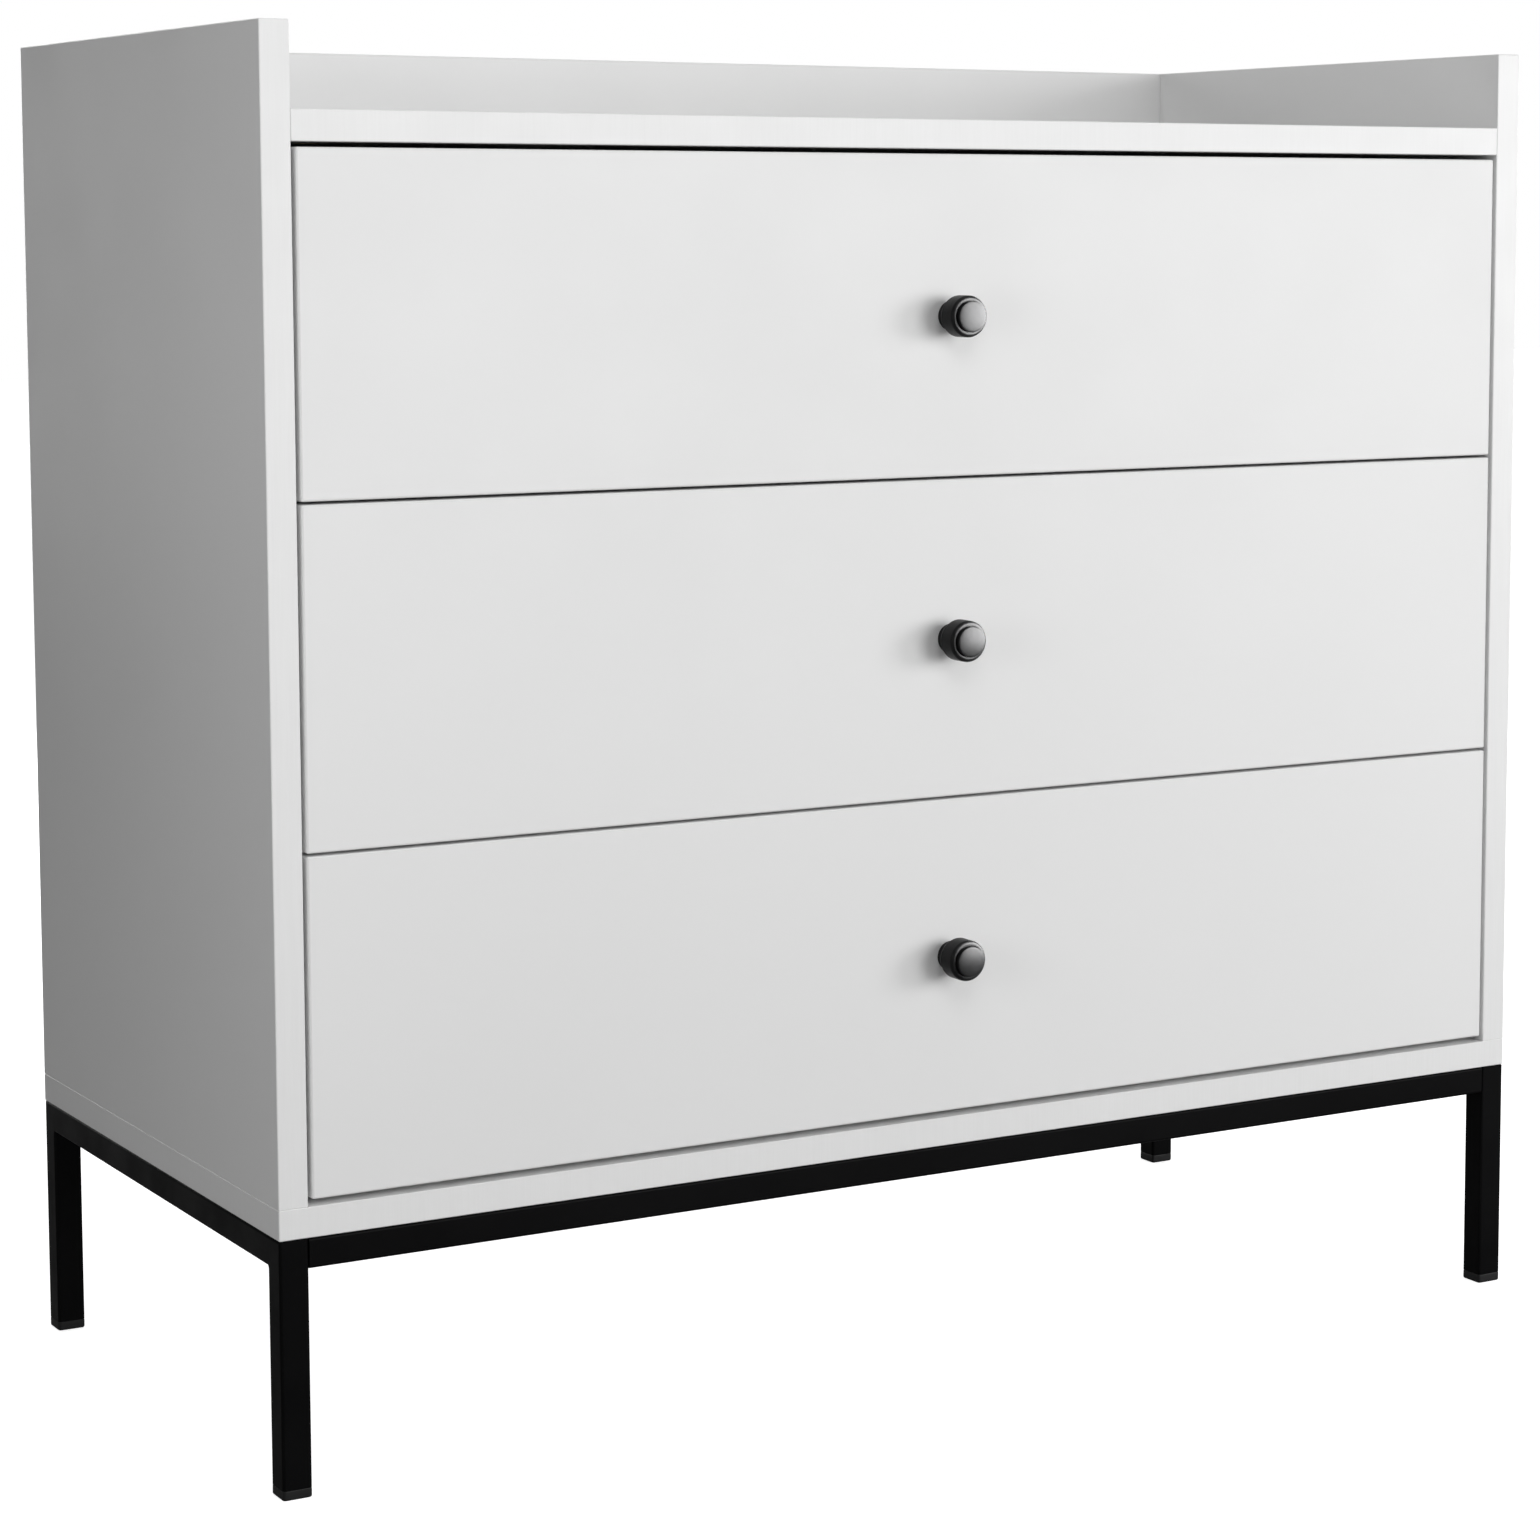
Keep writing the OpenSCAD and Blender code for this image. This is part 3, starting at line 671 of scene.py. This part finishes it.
def square_ring(half, radius, steps=5):
    """Corners of a rounded square, as points across the tube."""
    inner = half - radius
    points = []
    for k, (u, v) in enumerate(((1, 1), (-1, 1), (-1, -1), (1, -1))):
        points += arc((u * inner, v * inner), radius, 90 * k, 90 * (k + 1), steps)
    return points


def build_cross_rail(node):
    """Square tube between two legs, open inside, a hair short of them at each end."""
    low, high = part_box(node)
    centre, half = (low + high) / 2, (high.z - low.z) / 2
    ends = (low.x + RAIL_GAP, high.x - RAIL_GAP)
    bm = bmesh.new()
    rings = []
    for radius, reach in ((TUBE_R, half), (TUBE_R / 3, half - TUBE_WALL)):
        for x in ends:
            ring = square_ring(reach, radius)
            rings.append([bm.verts.new((x, centre.y + u, centre.z + v)) for u, v in ring])
    outer_a, outer_b, inner_a, inner_b = rings
    walls = ((outer_a, outer_b), (inner_b, inner_a), (inner_a, outer_a), (outer_b, inner_b))
    for first, second in walls:
        join_rings(bm, first, second)
    piece = add_piece(node + "_tube", bm, [POWDER_COAT], [node])
    cut(piece, driver_holes(low, high), 0)
    weigh_normals(piece)


def foot_profile(half, low, leg_end, high):
    """(reach, height) up a glide: a rounded pad, then a ribbed plug inside the leg."""
    plug = half - TUBE_WALL - 0.25 * MM
    root, top = plug - RIB_DEPTH, leg_end - 0.1 * MM
    profile = [
        (half - 1.0 * MM, low), (half - 0.5 * MM, low + 0.15 * MM),
        (half - 0.15 * MM, low + 0.5 * MM), (half, low + 1.0 * MM), (half, leg_end - 0.7 * MM),
        (half - 0.15 * MM, leg_end - 0.3 * MM), (half - 0.5 * MM, top), (root, top),
    ]
    for k in range(RIBS):
        z = leg_end + FIRST_RIB + RIB_PITCH * k
        profile += [
            (root, z), (plug, z + 0.5 * MM), (plug, z + 2.4 * MM), (root, z + 2.9 * MM)
        ]
    return profile + [(plug - 0.6 * MM, high - 0.8 * MM), (plug - 1.4 * MM, high)]


def build_feet():
    """Moulded glides: a rounded pad under each leg, and the ribbed plug that holds it."""
    bm = bmesh.new()
    leg_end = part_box("front_left_leg")[0].z
    for low, high in islands("feet"):
        centre, half = (low + high) / 2, (high.x - low.x) / 2
        add_loft(bm, [
            [(centre.x + u, centre.y + v, z) for u, v in square_ring(reach, min(TUBE_R, reach / 2))]
            for reach, z in foot_profile(half, low.z, leg_end, high.z)
        ])
    weigh_normals(add_piece("feet_glides", bm, [FOOT_PLASTIC], ["feet"]))


# ---------- Knobs and screws ----------

# the knob's radii, and its lengths from the drawer front outwards
FOOT_R, FOOT_LENGTH, CONE_LENGTH = 9.2 * MM, 3.5 * MM, 6.0 * MM
BODY_ROUND, SHOULDER_ROUND = 2.4 * MM, 1.5 * MM
DISC_R, DISC_HEIGHT, DISC_ROUND, DISC_DOME = 9.5 * MM, 3.8 * MM, 0.6 * MM, 0.9 * MM
DISC_GROOVE = 0.5 * MM  # round the disc, as wide as it is deep
AXIS_R = 0.01 * MM  # what a lathed piece keeps at its axis, so that its ends have a cap

SHANK_R, HEAD_H = 2.0 * MM, 2.4 * MM
THREAD_PITCH, THREAD_DEPTH = 0.7 * MM, 0.3 * MM
THREAD_START, BARE_SHANK = 0.8 * MM, 3 * MM
SLOT_REACH, SLOT_HALF, SLOT_DEPTH = 2.2 * MM, 0.45 * MM, 1.3 * MM
SLOT_TURN = 30  # degrees that the cross recess stands turned


def add_lathe(bm, profile, start, direction, sides=96):
    """Turns a half section, (radius, height) from its axis up, about a direction."""
    turn = Vector(direction).to_track_quat("Z", "Y").to_matrix()
    start = Vector(start)
    around = [2 * math.pi * k / sides for k in range(sides)]
    levels = []
    for radius, height in profile:
        r = max(radius, AXIS_R)
        levels.append([
            start + turn @ Vector((r * math.cos(a), r * math.sin(a), height)) for a in around
        ])
    add_loft(bm, levels)


def knob_profile(radius, reach):
    """Foot, cone, body with a rounded rim, a fine groove and the domed disc on the face."""
    flare, face = FOOT_LENGTH + CONE_LENGTH, reach - DISC_HEIGHT
    profile = [
        (0, 0), (FOOT_R - 0.4 * MM, 0), (FOOT_R, 0.3 * MM), (FOOT_R, FOOT_LENGTH - 0.5 * MM),
        (FOOT_R + 0.15 * MM, FOOT_LENGTH + 0.1 * MM),
    ]
    profile += arc((radius - SHOULDER_ROUND, flare + 0.8 * MM), SHOULDER_ROUND, -52, 0, 6)
    profile += arc((radius - BODY_ROUND, face - BODY_ROUND), BODY_ROUND, 0, 90, 12)
    profile += [
        (DISC_R + DISC_GROOVE, face), (DISC_R + DISC_GROOVE * 0.8, face - DISC_GROOVE),
        (DISC_R, face - DISC_GROOVE),
    ]
    profile += arc((DISC_R - DISC_ROUND, reach - DISC_DOME - DISC_ROUND), DISC_ROUND, 0, 76, 6)
    edge = DISC_R - DISC_ROUND * 0.75
    inward = [1 - k / 8 for k in range(1, 9)]
    return profile + [(edge * k, reach - DISC_DOME * k ** 2) for k in inward]


def build_knob(drawer):
    node = drawer + "_knob"
    low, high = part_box(node)
    centre = (low + high) / 2
    profile = knob_profile((high.x - low.x) / 2, high.y - low.y)
    bm = bmesh.new()
    add_lathe(bm, profile, (centre.x, high.y, centre.z), (0, -1, 0))
    knob = add_piece(node + "_turned", bm, [KNOB_LACQUER], [node], sharp_angle=50.0)
    KNOBS.objects.link(knob)


def screw_profile(length, head_r):
    """Threaded shank with its tip at height 0, a bare neck and a pan head."""
    profile = [(0, 0), (SHANK_R - 0.4 * MM, 0), (SHANK_R, 0.5 * MM)]
    for k in range(int((length - BARE_SHANK - MM) / THREAD_PITCH)):
        z = THREAD_START + THREAD_PITCH * k
        profile += [(SHANK_R, z), (SHANK_R - THREAD_DEPTH, z + THREAD_PITCH / 2)]
    profile += [(SHANK_R, length - BARE_SHANK), (SHANK_R, length), (head_r, length)]
    profile += arc((head_r - 1.0 * MM, length + HEAD_H - 1.2 * MM), 1.0 * MM, 0, 75, 6)
    return profile + [(0, length + HEAD_H)]


def build_knob_screw(drawer):
    """Pan-head machine screw with a cross recess, its head inside the drawer."""
    node = drawer + "_knob_screw"
    low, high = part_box(node)
    centre = (low + high) / 2
    profile = screw_profile(high.y - HEAD_H - low.y, (high.x - low.x) / 2)
    bm = bmesh.new()
    add_lathe(bm, profile, (centre.x, low.y, centre.z), (0, 1, 0), sides=40)
    piece = add_piece(node + "_threaded", bm, [ZINC], [node], sharp_angle=30.0)
    turn = Matrix.Rotation(math.radians(SLOT_TURN), 3, "Y")
    for u, v in ((SLOT_REACH, SLOT_HALF), (SLOT_HALF, SLOT_REACH)):
        slot = bmesh.new()
        add_box(
            slot, (centre.x - u, high.y - SLOT_DEPTH, centre.z - v),
            (centre.x + u, high.y + CLEAR, centre.z + v),
        )
        bmesh.ops.rotate(slot, verts=slot.verts, cent=centre, matrix=turn)
        cut(piece, slot, 0)


def dress_cad_nodes():
    """CAD pieces whose shape is already right get their finish."""
    finishes = {
        "carcass_cams": ZINC, "carcass_cam_bolts": ZINC, "carcass_dowels": BEECH,
        "frame_screws": ZINC, "runner_screws": ZINC,
    }
    for drawer in DRAWERS:
        for piece in ("cams", "cam_bolts", "screws"):
            finishes[f"{drawer}_{piece}"] = ZINC
        for piece in ("fixed_runners", "moving_runners", "ball_cages"):
            finishes[f"{drawer}_{piece}"] = RUNNER_ZINC
    for node, material in finishes.items():
        obj = frame["nodes"][node]
        obj.data.materials.clear()
        obj.data.materials.append(material)


# ---------- Stage, light and camera ----------

# name, azimuth, elevation, distance in metres, size in metres, watts
SOFT_BOXES = (
    ("key_box", 50, 9, 3.2, (1.0, 1.0), 27),
    ("front_box", 20, 12, 3.2, (1.4, 1.4), 28),
    ("low_box", 25, -2, 3.0, (1.4, 0.7), 8),
    ("left_box", -20, 35, 2.0, (1.0, 0.8), 6),
    ("left_strip", -60, 8, 1.6, (0.5, 0.6), 3.5),
    ("overhead_box", 0, 89, 2.2, (2.2, 1.6), 14),
    ("right_box", 115, 15, 3.0, (1.4, 1.6), 25),
    ("rear_box", 180, 12, 3.0, (2.0, 1.6), 40),
)

LENS, SENSOR = 88.9, 36.0  # millimetres
LENS_SHIFT = (-0.0857, -0.10)
CAMERA_PLACE = (-1.2315, -2.185, 0.7275)
CAMERA_YAW, CAMERA_PITCH = 30.99, 5.89  # degrees to the right, and down


def add_light(name, azimuth, elevation, distance, size, power):
    """A soft box aimed at the table. Azimuth 0 is straight in front, 90 on its right."""
    centre = (CAD_BOX[0] + CAD_BOX[1]) / 2
    a, e = math.radians(azimuth), math.radians(elevation)
    outward = Vector((math.sin(a) * math.cos(e), -math.cos(a) * math.cos(e), math.sin(e)))
    data = bpy.data.lights.new(name, "AREA")
    data.shape = "RECTANGLE"
    data.size, data.size_y = size
    data.energy = power
    lamp = bpy.data.objects.new(name, data)
    lamp.location = centre + outward * distance
    lamp.rotation_euler = outward.to_track_quat("Z", "Y").to_euler()
    bpy.context.scene.collection.objects.link(lamp)
    return lamp


def build_floor():
    bm = bmesh.new()
    bmesh.ops.create_grid(bm, x_segments=4, y_segments=4, size=FLOOR_SIZE)
    mesh = bpy.data.meshes.new("floor")
    bm.to_mesh(mesh)
    bm.free()
    mesh.materials.append(make_floor())
    floor = bpy.data.objects.new("floor", mesh)
    bpy.context.scene.collection.objects.link(floor)


def build_world():
    """White behind everything. Only a little of it lights the object."""
    world = bpy.data.worlds.new("studio")
    bpy.context.scene.world = world
    world.use_nodes = True
    tree = world.node_tree
    path = tree.nodes.new("ShaderNodeLightPath")
    strength = tree.nodes.new("ShaderNodeMapRange")
    strength.inputs["To Min"].default_value = AMBIENT
    strength.inputs["To Max"].default_value = 1.0
    tree.links.new(path.outputs["Is Camera Ray"], strength.inputs["Value"])
    background = tree.nodes["Background"]
    background.inputs["Color"].default_value = WHITE
    tree.links.new(strength.outputs["Result"], background.inputs["Strength"])


def build_lights():
    """Soft boxes all round, and a card whose reflection only the knobs take."""
    card = add_light("knob_card", 46, 13, 1.3, (1.6, 1.0), 290)
    card.visible_diffuse = False
    card.visible_camera = False
    card.light_linking.receiver_collection = KNOBS
    for light in SOFT_BOXES:
        add_light(*light)


def build_camera():
    """Camera in front and to the left of the table, looking slightly down."""
    data = bpy.data.cameras.new("camera")
    data.sensor_width = SENSOR
    data.lens = LENS
    data.shift_x, data.shift_y = LENS_SHIFT
    camera = bpy.data.objects.new("camera", data)
    camera.location = CAMERA_PLACE
    yaw, pitch = math.radians(CAMERA_YAW), math.radians(CAMERA_PITCH)
    camera.rotation_euler = (math.pi / 2 - pitch, 0.0, -yaw)
    bpy.context.scene.collection.objects.link(camera)
    bpy.context.scene.camera = camera


build_carcass()
for drawer in DRAWERS:
    build_drawer(drawer)
    build_knob(drawer)
    build_knob_screw(drawer)
for side in ("left", "right"):
    build_side_frame(side)
for node in ("front_rail", "rear_rail"):
    build_cross_rail(node)
build_feet()
dress_cad_nodes()
build_floor()
build_world()
build_lights()
build_camera()
bpy.context.scene.view_settings.view_transform = "Standard"
